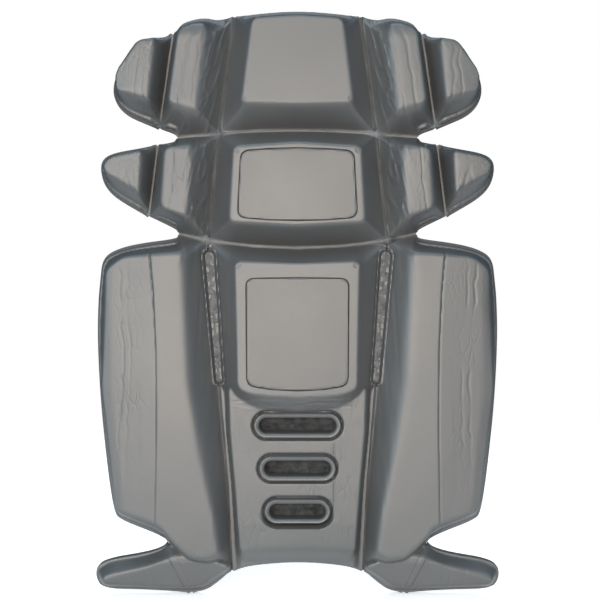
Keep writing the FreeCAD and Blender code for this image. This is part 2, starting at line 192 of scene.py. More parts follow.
VENTS = [(22.0, 122.0), (18.3, 91.5), (14.6, 61.0)]
VENT_RADIUS = 5.7
VENT_WALL_TOP = 14.6
LIP_WIDTH, LIP_PROUD, LIP_DISH = 3.3, 1.8, 0.28
MOAT_WIDTH, MOAT_DEEP = 1.5, 2.4

# The slot between the lower block and the wing, down to the backing: two ends as X, height
# and half width of the floor.
CHANNEL = ((63.4, 242.5, 3.0), (56.4, 154, 1.8))
CHANNEL_FLOOR, CHANNEL_FOOT = 5.6, 5.1
CHANNEL_WALL, CHANNEL_WALL_SLOPE = 1.8, 2.0
# Lines down the wing, as (height, X): the step between its facets, and its outer bevel.
WING_CREASE = [(55, 100.3), (120, 99.4), (176, 99.8), (218, 101.7), (245.5, 104.1)]
WING_BEVEL = [(60, 121.5), (150, 131.5), (233, 130.5)]


def mirror_half(corners):
    """The whole outline from its right half, top to bottom."""
    left = [(-c[0],) + tuple(c[1:]) for c in reversed(corners) if c[0] > 0]
    return list(corners) + left


def rounded(corners, reach=None, steps=6):
    """A closed outline with its corners bent over, by a share of each edge or to a reach."""
    count, points = len(corners), []
    for i, corner in enumerate(corners):
        softness = corner[2] if len(corner) > 2 else SMOOTH
        here = np.array(corner[:2], float)
        before = np.array(corners[i - 1][:2], float)
        after = np.array(corners[(i + 1) % count][:2], float)
        if softness == SHARP:
            points.append(here)
            continue
        ends = []
        for other in (before, after):
            length = np.linalg.norm(other - here)
            step = softness * length
            if reach is not None:
                step = min(reach, LONGEST_BEND * length)
            ends.append(here + (other - here) * step / length)
        for t in np.linspace(0, 1, steps):
            points.append((1 - t) ** 2 * ends[0] + 2 * t * (1 - t) * here + t * t * ends[1])
    kept = [p for i, p in enumerate(points) if np.linalg.norm(p - points[i - 1]) > SAME_POINT]
    return np.array(kept)


def signed_distance(x, z, outline):
    """Distance to a closed outline, negative inside."""
    flat = np.stack([np.ravel(x), np.ravel(z)], 1)
    result = np.empty(len(flat))
    a = outline
    b = np.roll(outline, -1, 0)
    ab = b - a
    length2 = (ab ** 2).sum(1)
    chunk = 20000
    for start in range(0, len(flat), chunk):
        p = flat[start:start + chunk, None, :]
        t = np.clip(((p - a) * ab).sum(2) / length2, 0, 1)
        gap = p - a - t[..., None] * ab
        near = np.sqrt((gap ** 2).sum(2).min(1))
        above = (a[:, 1] > p[..., 1]) != (b[:, 1] > p[..., 1])
        with np.errstate(divide="ignore", invalid="ignore"):
            cross = a[:, 0] + (p[..., 1] - a[:, 1]) * ab[:, 0] / ab[:, 1]
        inside = (above & (p[..., 0] < cross)).sum(1) % 2 == 1
        result[start:start + chunk] = np.where(inside, -near, near)
    return result.reshape(np.shape(x))


def soft_min(a, b, k):
    return -k * np.logaddexp(-a / k, -b / k)


def soft_max(a, b, k):
    return k * np.logaddexp(a / k, b / k)


def noise(x, z, wave_x, wave_z, seed):
    """Smooth value noise from -1 to 1, the same on every run."""
    table = np.random.RandomState(seed).uniform(-1, 1, (64, 64))
    u, v = np.asarray(x) / wave_x, np.asarray(z) / wave_z
    i, j = np.floor(u).astype(int), np.floor(v).astype(int)
    fu, fv = u - i, v - j
    fu, fv = fu * fu * (3 - 2 * fu), fv * fv * (3 - 2 * fv)

    def pick(di, dj):
        return table[(i + di) % 64, (j + dj) % 64]

    low = pick(0, 0) * (1 - fu) + pick(1, 0) * fu
    high = pick(0, 1) * (1 - fu) + pick(1, 1) * fu
    return low * (1 - fv) + high * fv


def ridge(value, width):
    """1 where a value is 0, such as a line or a noise's zero, falling off within a width."""
    return np.exp(-(value / width) ** 2)


def window(value, low, high, fade):
    """1 between two values, fading to 0 outside them."""
    return 1 / (1 + np.exp(-(value - low) / fade)) / (1 + np.exp((value - high) / fade))


def obround_distance(x, z, reach, height, radius):
    """Distance to a level slot on the centre line, negative inside."""
    return np.hypot(np.maximum(np.abs(x) - reach, 0), z - height) - radius


def channel_distance(x, z):
    """Distance to the tapering side slot, negative inside."""
    (ax, az, ar), (bx, bz, br) = CHANNEL
    ab = np.array([bx - ax, bz - az])
    px, pz = np.abs(x) - ax, z - az
    t = np.clip((px * ab[0] + pz * ab[1]) / (ab ** 2).sum(), 0, 1)
    return np.hypot(px - t * ab[0], pz - t * ab[1]) - (ar + t * (br - ar))


def panel_outline(cell, grow=0.0):
    """An inlay's outline: rounded corners and gently bowed ends."""
    (top_x, top_z), (foot_x, foot_z), top_bow, foot_bow = PANELS[cell]
    corners = [(0, top_z + top_bow, 0.0), (top_x / 2, top_z + top_bow * 0.75, 0.0),
               (top_x, top_z), (foot_x, foot_z),
               (foot_x / 2, foot_z - foot_bow * 0.75, 0.0), (0, foot_z - foot_bow, 0.0)]
    outline = rounded(mirror_half(corners), reach=PANEL_CORNER)
    return outline + normals_of(outline) * grow if grow else outline


def normals_of(outline):
    """Outward unit normals of a closed outline, whichever way it runs."""
    tangent = np.roll(outline, -1, 0) - np.roll(outline, 1, 0)
    normal = np.stack([tangent[:, 1], -tangent[:, 0]], 1)
    normal /= np.maximum(np.linalg.norm(normal, axis=1), TINY)[:, None]
    x, z = outline[:, 0], outline[:, 1]
    area = (x * np.roll(z, -1) - np.roll(x, -1) * z).sum()
    return normal if area > 0 else -normal


# ---------------------------------------- relief
# A wall's shortest run, and how softly it meets the floor.
SHORTEST_WALL, FLOOR_BLEND = 1.2, 0.35
# A fine line down the plate beside the vents: X, half width and depth. Then the hollow below
# the lowest vent: how far it reaches, over what it fades, and its depth.
PLATE_LINE = (26.3, 0.7, 0.45)
VENT_HOLLOW = (7.0, 3.4, 5.5)
GROOVE_REACH, GROOVE_RISE = 2.5, 5.0


def block_relief(x, z, foot, crown, depth, roundness, floor, limit=None):
    """Drafted walls from a foot outline, cut off at a limit, up to a rounded crown."""
    inner = -signed_distance(x, z, foot)
    if limit is not None:
        inner = np.minimum(inner, -signed_distance(x, z, limit))
    outer = signed_distance(x, z, crown)
    share = inner / np.maximum(inner + outer, SHORTEST_WALL)
    walls = PARTING + (depth - PARTING) * np.clip(share, -2, 4)
    return soft_max(soft_min(walls, depth, roundness), floor, FLOOR_BLEND)


def crown_outline(cell, corners):
    return rounded(mirror_half(corners) if cell in CENTRAL else corners, reach=CROWN_CORNER)


def unevenness(x, z):
    """The slight waviness that the moulding and its panels share."""
    return 0.12 * noise(x, z, 23, 27, 3)


def relief(cell, x, z):
    """Depth of a cell's front surface. X counts from the centre line, whatever the side."""
    across = np.abs(x)
    floor = floor_relief(x, z)
    if cell in ("wing", "tail"):
        floor = floor - (FLANGE - TAIL_FLANGE) * window(z, -20, 42, 2)
        floor = tail_block(across, z, floor)
    if cell == "lower_spine":
        foot = rounded(mirror_half(PLATE_FOOT), reach=FOOT_CORNER)
        level = PLATE[1] - PLATE_FALL[1] * np.maximum(PLATE_FALL[0] - z, 0)
        floor = block_relief(across, z, foot, crown_outline(cell, PLATE[0]), level, PLATE[2],
                             floor)
        floor = vents_relief(x, z, floor)
    if cell in BLOCKS:
        floor = main_block(cell, across, z, floor)
    if cell in ("lower_spine", "wing"):
        floor = channel_relief(across, z, floor)
    if cell in ("wing", "tail"):
        floor = np.minimum(floor, tail_hinge_walls(x, z))
    if cell in PIN_MARKS:
        mark = np.hypot(across - PIN_MARKS[cell][0], z - PIN_MARKS[cell][1])
        floor = floor - PIN_DEEP * ridge(mark - PIN_RADIUS, PIN_LINE)
    return floor + wrinkles(cell, x, z) + unevenness(x, z)


def tail_block(across, z, floor):
    """The tail's low block, which is highest along its upper edge."""
    level = TAIL_LEVEL - TAIL_FALL[1] * np.clip(TAIL_FALL[0] - z, 0, TAIL_FALL[0])
    return block_relief(across, z, rounded(TAIL_FOOT, reach=FOOT_CORNER),
                        rounded(TAIL_CROWN, reach=FOOT_CORNER), level, TAIL_ROUND, floor)


def main_block(cell, across, z, floor):
    """A cell's own raised block, over its floor."""
    corners, depth, roundness = BLOCKS[cell]
    foot = foot_outline(cell)
    if cell == "lower_spine":
        foot = rounded(mirror_half(LOWER_BLOCK_FOOT), reach=FOOT_CORNER)
    if cell in DROOPS:
        depth = depth - droop(across, z, *DROOPS[cell])
    limit = None
    if cell == "wing":
        depth = depth + wing_facets(across, z)
        limit = rounded(WING_END, reach=END_CORNER)
    return block_relief(across, z, foot, crown_outline(cell, corners), depth, roundness,
                        floor, limit)


def tail_hinge_walls(x, z):
    """Steep walls either side of the tail's hinge, which leave it room to flex."""
    beyond = np.maximum(groove_distance(x, z, TAIL_GROOVE) - FRONT_HALF_GAP, 0)
    return GROOVE_FLOOR + beyond * TAIL_WALL_SLOPE


def floor_relief(x, z):
    """The thin foam round the blocks: low along the grooves, a thicker lip at free edges."""
    low = np.clip((groove_distance(x, z) - GROOVE_REACH) / GROOVE_RISE, 0, 1)
    return GROOVE_FLOOR + (FLANGE - GROOVE_FLOOR) * low * low * (3 - 2 * low)


def droop(across, z, from_x, from_z, rate_x, rate_z):
    return (rate_x * np.maximum(across - from_x, 0) ** 2
            + rate_z * np.maximum(z - from_z, 0) ** 2)


def vents_relief(x, z, plate):
    """A sunk moat and a raised lip round each vent, and the creases beside them."""
    line_x, line_width, line_deep = PLATE_LINE
    hollow_reach, hollow_fade, hollow_deep = VENT_HOLLOW
    plate = plate - line_deep * ridge(x - line_x, line_width) * window(z, 60, 108, 2)
    reach, lowest = VENTS[-1]
    below = obround_distance(x, z, reach, lowest, VENT_RADIUS)
    dip = np.clip((hollow_reach - below) / hollow_fade, 0, 1)
    plate = plate - hollow_deep * dip * window(z, lowest - 30, lowest - 5, 1.6)
    moat = LIP_WIDTH + MOAT_WIDTH / 2
    for reach, height in VENTS:
        d = obround_distance(x, z, reach, height, VENT_RADIUS)
        plate = plate - MOAT_DEEP * ridge(d - moat, 0.52 * MOAT_WIDTH)
        lip = window(d, -2, LIP_WIDTH - 0.2, 0.22)
        top = PLATE[1] + LIP_PROUD - LIP_DISH * (LIP_WIDTH - d)
        plate = plate + lip * (top - plate)
        plate = plate - 0.5 * ridge(d + 0.1, 0.7)
    return plate


def channel_relief(across, z, floor):
    """The side slot's walls, with a thin rim along their top."""
    d = channel_distance(across, z)
    walls = CHANNEL_FOOT + np.maximum(d, 0) * CHANNEL_WALL_SLOPE
    top = CHANNEL_FOOT + CHANNEL_WALL * CHANNEL_WALL_SLOPE
    ledge = window(d, CHANNEL_WALL - 0.3, CHANNEL_WALL + 1.1, 0.15)
    return soft_min(floor + ledge * (top - floor), walls, 0.12)


def wing_facets(across, z):
    """Two facets that meet at a fine step, the outer one falling away to the edge."""
    out = across - np.interp(z, *zip(*WING_CREASE))
    past = across - np.interp(z, *zip(*WING_BEVEL))
    rolled = 0.13 * np.logaddexp(0, past / 0.8) * 0.8
    slope = -0.035 * np.maximum(out, 0) - 0.025 * np.maximum(-out, 0) - rolled
    step = -0.5 / (1 + np.exp(-out / 0.25))
    line = -0.5 * ridge(out - 0.2, 0.6)
    deep = np.interp(z, (60, 190, 240), (0.6, 0.8, 1.5))
    return slope + (step + line * deep) * window(z, 40, 246, 1.5) + 0.4


CREASED = "creased"


def creasing(cell, across, z):
    """How crazed the skin is, from 0 on the firm blocks to 1 where it bends in use."""
    if cell == "wing":
        outer = window(across, 106, 131, 3) * window(z, 62, 238, 10)
        end = window(z, 10, 46, 5) * window(across, 66, 92, 4)
        return np.clip(0.08 + 0.45 * outer + 0.5 * end, 0, 1)
    if cell in ("upper_rib", "middle_rib"):
        return 0.25 + 0.5 * window(across, 76, 93, 3)
    if cell in ("upper_lobe", "middle_lobe"):
        return np.full(np.shape(across), 0.6)
    if cell == "tail":
        return 0.3 + 0.6 * window(across, 74, 104, 6)
    if cell == "lower_spine":
        return 0.05 + 0.65 * window(z, 26, 143, 4) * window(across, -1, 47, 2)
    return np.full(np.shape(across), 0.04)


def wrinkles(cell, x, z):
    """Folds and cracks that the foam skin gets from being bent in use.

    Each noise has its two wave lengths in millimetres, and then its seed.
    """
    across = np.abs(x)
    fold = np.zeros(np.shape(x))
    if cell in ("upper_rib", "middle_rib"):
        lean = 0.135 if cell == "upper_rib" else 0.06
        u = across + lean * (z - 330)
        on_wall = window(u, 60, 73 if cell == "upper_rib" else 75, 1.4)
        fine = ridge(noise(u + 0.12 * z, z, 3.1, 16, 11), 0.22)
        finer = ridge(noise(u + 0.18 * z, z, 2.3, 12, 12), 0.25)
        fold += on_wall * (0.5 * fine + 0.36 * finer)
        crack = noise(u + 1.4 * noise(x, z, 9, 8, 13), z, 9, 60, 14)
        fold -= 0.3 * ridge(crack, 0.13) * window(u, 77, 91, 2)
    if cell in ("upper_lobe", "middle_lobe"):
        crack = noise(across + 2 * noise(x, z, 8, 9, 15), z * 0.35, 8, 9, 16)
        fold -= 0.25 * ridge(crack, 0.14) * window(across, 107, 124, 3)
    if cell == "wing":
        wander = across + 3.5 * noise(x, z, 30, 34, 17) + 1.2 * noise(x, z, 5, 6, 18)
        for line, depth in ((124, 0.28), (118.5, 0.18)):
            broken = window(noise(x, z, 60, 17, 26), -0.35, 9, 0.12)
            fold -= depth * broken * ridge(wander - line, 0.75) * window(z, 110, 238, 9)
        lower = noise(across + noise(x, z, 7, 9, 19), z, 3.2, 42, 20)
        fold += 0.12 * lower * window(across, 110, 130, 3) * window(z, 60, 150, 12)
        inner = noise(across + 0.05 * z, z, 1.9, 30, 21)
        wall = np.interp(z, (30, 150, 245), (51, 62, 70))
        fold += 0.16 * inner * window(across - wall, -4, 9, 2)
    if cell == "lower_spine":
        step = noise(x, z + noise(x, z, 14, 5, 23), 9, 1.5, 22)
        fold += 0.3 * step * window(z, 134, 143, 1.2) * window(across, -1, 44, 2)
        side = noise(across, z, 1.7, 24, 24)
        fold += 0.12 * side * window(across, 44.5, 54, 1.2) * window(z, 156, 246, 2)
    if cell == "tail":
        root = noise(across + 0.3 * z, z, 3.6, 14, 25)
        fold += 0.35 * root * window(across, 80, 101, 2.5)
        for place in (103, 108, 118):
            fold -= 0.16 * ridge(across - place - 0.25 * (z - 10), 0.8) * window(z, 6, 19, 1)
    return fold


# ---------------------------------------- meshes
NEAR_EDGE = 0.02            # of a grid step: no point lies nearer than this to an edge
# An edge is free past a distance from the grooves, over a fade. A free edge has a lip, wider
# where it leans to the wearer's feet or, on the wing, head. Walls start inside that lip.
FREE_FROM, FREE_OVER, ROLL_FROM, ROLL_OVER = 1.6, 2.5, 1.5, 2.0
EDGE_LIP, LEANING_LIP = 0.7, 1.5
WALL_OVERLAP, WALL_INSET = 0.3, 1.3
LEAST_FRONT = 0.45


def region(distance, low, high, spacing):
    """Points and faces of the flat area where distance is negative, cut along its edge."""
    xs = np.arange(low[0] - spacing, high[0] + 2 * spacing, spacing)
    zs = np.arange(low[1] - spacing, high[1] + 2 * spacing, spacing)
    gx, gz = np.meshgrid(xs, zs, indexing="ij")
    value = distance(gx, gz)
    value[np.abs(value) < NEAR_EDGE * spacing] = NEAR_EDGE * spacing
    inside = value < 0
    index = -np.ones(inside.shape, int)
    index[inside] = np.arange(inside.sum())
    points = [tuple(p) for p in np.stack([gx[inside], gz[inside]], 1)]
    cuts, faces = {}, []

    def cut(a, b):
        key = (a, b) if a < b else (b, a)
        if key not in cuts:
            va, vb = value[key[0]], value[key[1]]
            t = va / (va - vb)
            (ia, ja), (ib, jb) = key
            cuts[key] = len(points)
            points.append((gx[ia, ja] + t * (gx[ib, jb] - gx[ia, ja]),
                           gz[ia, ja] + t * (gz[ib, jb] - gz[ia, ja])))
        return cuts[key]

    whole = inside[:-1, :-1] & inside[1:, :-1] & inside[1:, 1:] & inside[:-1, 1:]
    for i, j in np.argwhere(whole):
        faces.append((index[i, j], index[i + 1, j], index[i + 1, j + 1], index[i, j + 1]))
    part = (inside[:-1, :-1] | inside[1:, :-1] | inside[1:, 1:] | inside[:-1, 1:]) & ~whole
    for i, j in np.argwhere(part):
        ring = [(i, j), (i + 1, j), (i + 1, j + 1), (i, j + 1)]
        face = []
        for a, b in zip(ring, ring[1:] + ring[:1]):
            if inside[a]:
                face.append(index[a])
            if inside[a] != inside[b]:
                face.append(cut(a, b))
        if len(face) > 2:
            faces.append(tuple(face))
    return np.array(points), faces


def edge_loops(faces):
    """The loops of edges that only one face has, each in its face's direction."""
    edges = {edge: None for face in faces for edge in zip(face, face[1:] + face[:1])}
    ahead = {a: b for a, b in edges if (b, a) not in edges}
    loops = []
    while ahead:
        start = next(iter(ahead))
        loop, here = [start], ahead.pop(start)
        while here != start:
            loop.append(here)
            here = ahead.pop(here)
        loops.append(loop)
    return loops


def to_frame(x, z, depth, side=1):
    return (side * x * MM, -depth * MM, z * MM + TAIL_TIP_Z)


def new_object(name, points, faces, side=1, sharp=40):
    """An object from frame points. Faces are flipped on a mirrored piece."""
    if side < 0:
        faces = [tuple(reversed(f)) for f in faces]
    mesh = bpy.data.meshes.new(name)
    mesh.from_pydata([tuple(map(float, p)) for p in points], [],
                     [tuple(map(int, f)) for f in faces])
    mesh.validate()
    bm = bmesh.new()
    bm.from_mesh(mesh)
    bmesh.ops.recalc_face_normals(bm, faces=bm.faces)
    bm.to_mesh(mesh)
    bm.free()
    mesh.shade_smooth()
    mesh.set_sharp_from_angle(angle=math.radians(sharp))
    obj = bpy.data.objects.new(name, mesh)
    bpy.context.scene.collection.objects.link(obj)
    return obj


def ring_normals(points, loop):
    """Outward normals along an edge loop of a flat region."""
    p = points[loop]
    tangent = np.roll(p, -1, 0) - np.roll(p, 1, 0)
    normal = np.stack([tangent[:, 1], -tangent[:, 0]], 1)
    return normal / np.maximum(np.linalg.norm(normal, axis=1), TINY)[:, None]


def cap(points3, rings, new_points, new_faces):
    """Fills a flat area bounded by rings of point numbers, holes included."""
    bm = bmesh.new()
    numbers, edges = {}, []
    for ring in rings:
        made = []
        for n in ring:
            v = bm.verts.new(points3[n])
            numbers[v] = n
            made.append(v)
        edges += [bm.edges.new((a, b)) for a, b in zip(made, made[1:] + made[:1])]
    bmesh.ops.triangle_fill(bm, use_beauty=True, use_dissolve=False, edges=edges,
                            normal=(0, 1, 0))
    for face in bm.faces:
        new_faces.append(tuple(numbers[v] for v in face.verts))
    bm.free()


def solid_from_region(flat, faces, depth, skirts):
    """A closed solid: the relief on top, then a skirt and a cap below each edge loop.

    skirts(loop points) gives the rows of that loop as (inset, depth) pairs and the name of
    the cap it shares. Loops with one cap name are filled together.
    """
    points = [to_frame(x, z, d) for (x, z), d in zip(flat, depth)]
    all_faces = [tuple(f) for f in faces]
    caps = {}
    for loop in edge_loops(all_faces):
        rows, cap_name = skirts(flat[loop])
        normal = ring_normals(flat, loop)
        above = list(loop)
        for inset, level in rows:
            below = []
            for n, out in zip(loop, normal):
                x, z = flat[n] - out * inset
                below.append(len(points))
                points.append(to_frame(x, z, level))
            for k in range(len(loop)):
                m = (k + 1) % len(loop)
                all_faces.append((above[k], below[k], below[m], above[m]))
            above = below
        caps.setdefault(cap_name, []).append(above)
    for rings in caps.values():
        cap(points, rings, points, all_faces)
    return points, all_faces


def cell_outline(cell):
    corners = OUTLINES[cell]
    if cell in CENTRAL:
        corners = mirror_half(corners)
    return rounded(corners)


def groove_distance(x, z, grooves=None):
    """Distance to the nearest groove, on either side of the centre line."""
    p = np.stack([np.abs(np.ravel(x)), np.ravel(z)], 1)
    nearest = np.full(len(p), np.inf)
    for start, end in grooves or GROOVES:
        a, b = np.array(POINTS[start], float), np.array(POINTS[end], float)
        t = np.clip(((p - a) @ (b - a)) / ((b - a) @ (b - a)), 0, 1)
        nearest = np.minimum(nearest, np.linalg.norm(p - a - t[:, None] * (b - a), axis=1))
    return nearest.reshape(np.shape(x))


def edge_offsets(cell):
    """The cell's outline, its normals, how free each point is and the lip's set-back."""
    outline = cell_outline(cell)
    normal = normals_of(outline)
    free = np.clip((groove_distance(*outline.T) - FREE_FROM) / FREE_OVER, 0, 1)
    lean = normal[:, 1] if cell == "wing" else -normal[:, 1]
    lip = EDGE_LIP + LEANING_LIP * np.clip(lean, 0, 1)
    if cell in ("lower_spine", "tail"):
        lip = np.full(len(outline), EDGE_LIP)
    return outline, normal, free, lip


def front_outline(cell):
    """The moulding's own edge: near each groove, and set back from the backing elsewhere."""
    outline, normal, free, lip = edge_offsets(cell)
    near = (HALF_GAP - FRONT_HALF_GAP) * (1 - free)
    return outline + normal * (near - lip * free)[:, None]


def foot_outline(cell):
    """Where the walls start: at the edge along grooves, and inside the lip elsewhere."""
    outline, normal, free, lip = edge_offsets(cell)
    near = (HALF_GAP - FRONT_HALF_GAP + WALL_OVERLAP) * (1 - free)
    return outline + normal * (near - (lip + WALL_INSET) * free)[:, None]


GROOVES = [("row_a_mid", "row_a_joint"), ("row_a_joint", "row_a_tip"),
           ("row_b_mid", "row_b_joint"), ("row_b_joint", "row_b_tip"),
           ("spine_top", "row_a_joint"), ("row_a_joint", "row_b_joint"),
           ("row_b_joint", "waist"), ("waist", "low_waist"), ("low_waist", "spine_foot"),
           ("rib_top", "rib_foot"), ("lobe_top", "lobe_foot"), ("tail_top", "tail_foot")]
TAIL_GROOVE = GROOVES[-1:]


def named(*parts):
    """A node's or body's name; a central cell has no side."""
    return "_".join(part for part in parts if part)


def front_piece(cell, side):
    """A cell's moulded front, as a closed solid on the parting plane."""
    sign = SIDES.get(side, 1)
    outline = front_outline(cell)
    low, high = outline.min(0), outline.max(0)
    recess = panel_outline(cell, PANEL_GAP) if cell in PANELS else None

    def distance(x, z):
        d = signed_distance(x, z, outline)
        if cell == "lower_spine":
            for reach, height in VENTS:
                d = np.maximum(d, -obround_distance(x, z, reach, height, VENT_RADIUS))
        if recess is not None:
            d = np.maximum(d, -signed_distance(x, z, recess))
        return d

    flat, faces = region(distance, low, high, GRID)
    depth = relief(cell, sign * flat[:, 0], flat[:, 1])
    free = np.clip((groove_distance(*flat.T) - ROLL_FROM) / ROLL_OVER, 0, 1)
    depth = depth - free * edge_roll(flat, outline, EDGE_ROLL)
    depth = np.maximum(depth, PARTING + LEAST_FRONT)

    def skirts(ring):
        middle = ring.mean(0)
        extent = ring.max(0) - ring.min(0)
        if recess is not None:
            if np.abs(signed_distance(*ring[:3].T, recess)).max() < 0.3:
                return [(0.0, BLOCK_TOP - 0.8), (0.0, BLOCK_TOP - PANEL_DEPTH)], "recess"
        is_vent = extent[0] < 70 and extent[1] < 20 and abs(middle[0]) < 5
        if is_vent and cell == "lower_spine":
            return [(-0.25, VENT_WALL_TOP), (-1.1, PARTING + 0.3), (-1.1, PARTING)], "bottom"
        return [(-0.1, PARTING + 0.4), (0.3, PARTING)], "bottom"

    points, all_faces = solid_from_region(flat, faces, depth, skirts)
    across = np.abs([p[0] for p in points]) / MM
    height = (np.array([p[2] for p in points]) - TAIL_TIP_Z) / MM
    points = [(sign * x, y, z) for x, y, z in points]
    obj = new_object(named(cell, "front_skin", side), points, all_faces, sign)
    worn = obj.data.attributes.new(CREASED, "FLOAT", "POINT")
    worn.data.foreach_set("value", creasing(cell, across, height).astype(np.float32))
    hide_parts(named(cell, "front", side))
    finish_piece(obj, "moulded_foam", body=named(cell, side))


def edge_roll(flat, outline, reach):
    """How far the surface rolls down next to the outline, as a quarter of a circle."""
    inset = np.clip(-signed_distance(*flat.T, outline), 0, None)
    short = np.clip(reach - inset, 0, reach)
    return reach - np.sqrt(np.maximum(reach ** 2 - short ** 2, 0))


def prism(name, outline, rows, side):
    """A closed solid with one outline at several levels, as (inset, depth) rows."""
    points, faces = [], []
    count = len(outline)
    normal = normals_of(outline)
    for inset, level in rows:
        for (x, z), out in zip(outline, normal):
            px, pz = np.array((x, z)) - out * inset
            points.append(to_frame(px, pz, level, side))
    for r in range(len(rows) - 1):
        for k in range(count):
            m = (k + 1) % count
            faces.append((r * count + k, r * count + m, (r + 1) * count + m,
                          (r + 1) * count + k))
    faces.append(tuple(range(count)))
    faces.append(tuple(reversed(range((len(rows) - 1) * count, len(rows) * count))))
    return new_object(name, points, faces, 1)


def backing_piece(cell, side):
    """The thin backing under a cell, its edges just rounded."""
    sign = SIDES.get(side, 1)
    rows = [(0.55, 0.0), (0.12, 0.25), (0.0, 0.8), (0.0, PARTING - 0.9),
            (0.2, PARTING - 0.3), (0.7, PARTING)]
    obj = prism(named(cell, "backing_sheet", side), cell_outline(cell), rows, sign)
    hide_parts(named(cell, "backing", side))
    finish_piece(obj, "backing_foam", body=named(cell, side))


def inlay_piece(cell):
    """A thin panel in the recess of a block's face, flush with it."""
    outline = panel_outline(cell)
    low, high = outline.min(0), outline.max(0)
    flat, faces = region(lambda x, z: signed_distance(x, z, outline), low, high, GRID * 1.6)
    depth = BLOCK_TOP + unevenness(*flat.T) - edge_roll(flat, outline, PANEL_ROLL)
    rows = [(0.0, BLOCK_TOP - PANEL_DEPTH)]
    points, all_faces = solid_from_region(flat, faces, depth, lambda ring: (rows, "bottom"))
    row = cell.split("_")[0]
    obj = new_object(f"{row}_inlay_skin", points, all_faces)
    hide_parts(f"{row}_inlay_panel")
    finish_piece(obj, "inlay_foam", body=cell)


WEB_HALF = 2.6
WEB_FRONT, WEB_MIDDLE = 6.3, 2.0
# A strip's cross section, as shares of its half width and drops from its front.
STRIP_SECTION = [(-1.0, 1.2), (-0.55, 0.4), (-0.2, 0.0), (0.2, 0.0), (0.55, 0.4), (1.0, 1.2)]
STRIP_BACK = 0.15
STRIP_STEP = 0.9
SWELL_LENGTH, SWELL_WIDENS = 3.5, 0.35


def strip(name, start, end, sign, half=(WEB_HALF, WEB_HALF), front=WEB_FRONT, swell=(0, 0),
          rough=0.0, crown=1.0, follow=None, back=STRIP_BACK):
    """A straight strip of foam along a groove, which may taper or swell into a blob.

    Its front is at one depth, with a crowned section, or follows a cell's surface.
    """
    a, b = np.array(start, float), np.array(end, float)
    length = np.linalg.norm(b - a)
    along = (b - a) / length
    out = np.array([along[1], -along[0]])
    if out[0] < 0 or (abs(out[0]) < 0.3 and out[1] < 0):
        out = -out
    steps = max(2, int(length / STRIP_STEP))
    points, faces = [], []
    for t in np.linspace(0, 1, steps + 1):
        centre = a + (b - a) * t
        blob = (swell[0] * math.exp(-(t * length / SWELL_LENGTH) ** 2)
                + swell[1] * math.exp(-((1 - t) * length / SWELL_LENGTH) ** 2))
        width = (half[0] + (half[1] - half[0]) * t) * (1 + SWELL_WIDENS * blob)
        ring = [(-width, back)]
        for share, drop in STRIP_SECTION:
            x, z = centre + out * width * share
            bumps = rough * (noise(x, z, 2.4, 1.3, 31) + 0.6 * noise(x, z, 1.1, 0.9, 32))
            level = front + 0.45 * noise(x, z, 60, 16, 33)
            if follow:
                level = max(surface_depth(follow, x, z) - 0.1, front)
            ring.append((width * share, level + blob - drop * crown + float(bumps)))
        ring.append((width, back))
        for offset, depth in ring:
            x, z = centre + out * offset
            points.append(to_frame(x, z, depth, sign))
    n = len(STRIP_SECTION) + 2
    for s in range(steps):
        for k in range(n):
            m = (k + 1) % n
            faces.append((s * n + k, s * n + m, (s + 1) * n + m, (s + 1) * n + k))
    faces.append(tuple(range(n)))
    faces.append(tuple(reversed(range(steps * n, steps * n + n))))
    return new_object(name, points, faces, 1, sharp=60), (a + b) / 2, out


def surface_depth(cell, x, z):
    """Depth of a cell's blocks at a point, as if the tail's hinge weren't there."""
    x, z = np.array([x]), np.array([z])
    floor = np.full(1, GROOVE_FLOOR)
    return float(main_block(cell, x, z, tail_block(x, z, floor))[0])


def web_piece(name, bodies, start, end, sign, replaces=None, look=None, slot="web_foam",
              **shape):
    """A hinge web strip between two cells, given its look and fixed in the frame."""
    obj, middle, out = strip(name, start, end, sign, **shape)
    if replaces:
        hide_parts(replaces)
    finish_piece(obj, slot, look)
    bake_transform(obj)


def finish_piece(obj, slot, look=None, body=None):
    """Puts a foam piece under its body, if one is given, and gives it the slot's or another look.
    """
    if body:
        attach(obj, body)
    obj.data.materials.clear()
    obj.data.materials.append(MATERIALS[look or slot])


# ---------------------------------------- materials
class Nodes:
    """A short way to add shader nodes and link them."""

    def __init__(self, name):
        self.material = bpy.data.materials.new(name)
        self.material.use_nodes = True
        self.tree = self.material.node_tree
        self.shader = self.tree.nodes["Principled BSDF"]

    def add(self, kind, inputs=None, **settings):
        node = self.tree.nodes.new(kind)
        for key, value in settings.items():
            setattr(node, key, value)
        for key, value in (inputs or {}).items():
            if isinstance(value, bpy.types.NodeSocket):
                self.tree.links.new(value, node.inputs[key])
            else:
                node.inputs[key].default_value = value
        return node

    def link(self, socket, name):
        self.tree.links.new(socket, self.shader.inputs[name])

    def noise(self, vector, scale, detail=3.0, roughness=0.55):
        return self.add("ShaderNodeTexNoise",
                        {"Vector": vector, "Scale": scale, "Detail": detail,
                         "Roughness": roughness}).outputs["Fac"]

    def ramp(self, fac, low, high, a=0.0, b=1.0):
        return self.add("ShaderNodeMapRange",
                        {"Value": fac, "From Min": low, "From Max": high, "To Min": a,
                         "To Max": b}).outputs["Result"]

    def bump(self, height, strength, distance, normal=None):
        inputs = {"Height": height, "Strength": strength, "Distance": distance}
        if normal is not None:
            inputs["Normal"] = normal
        return self.add("ShaderNodeBump", inputs).outputs["Normal"]


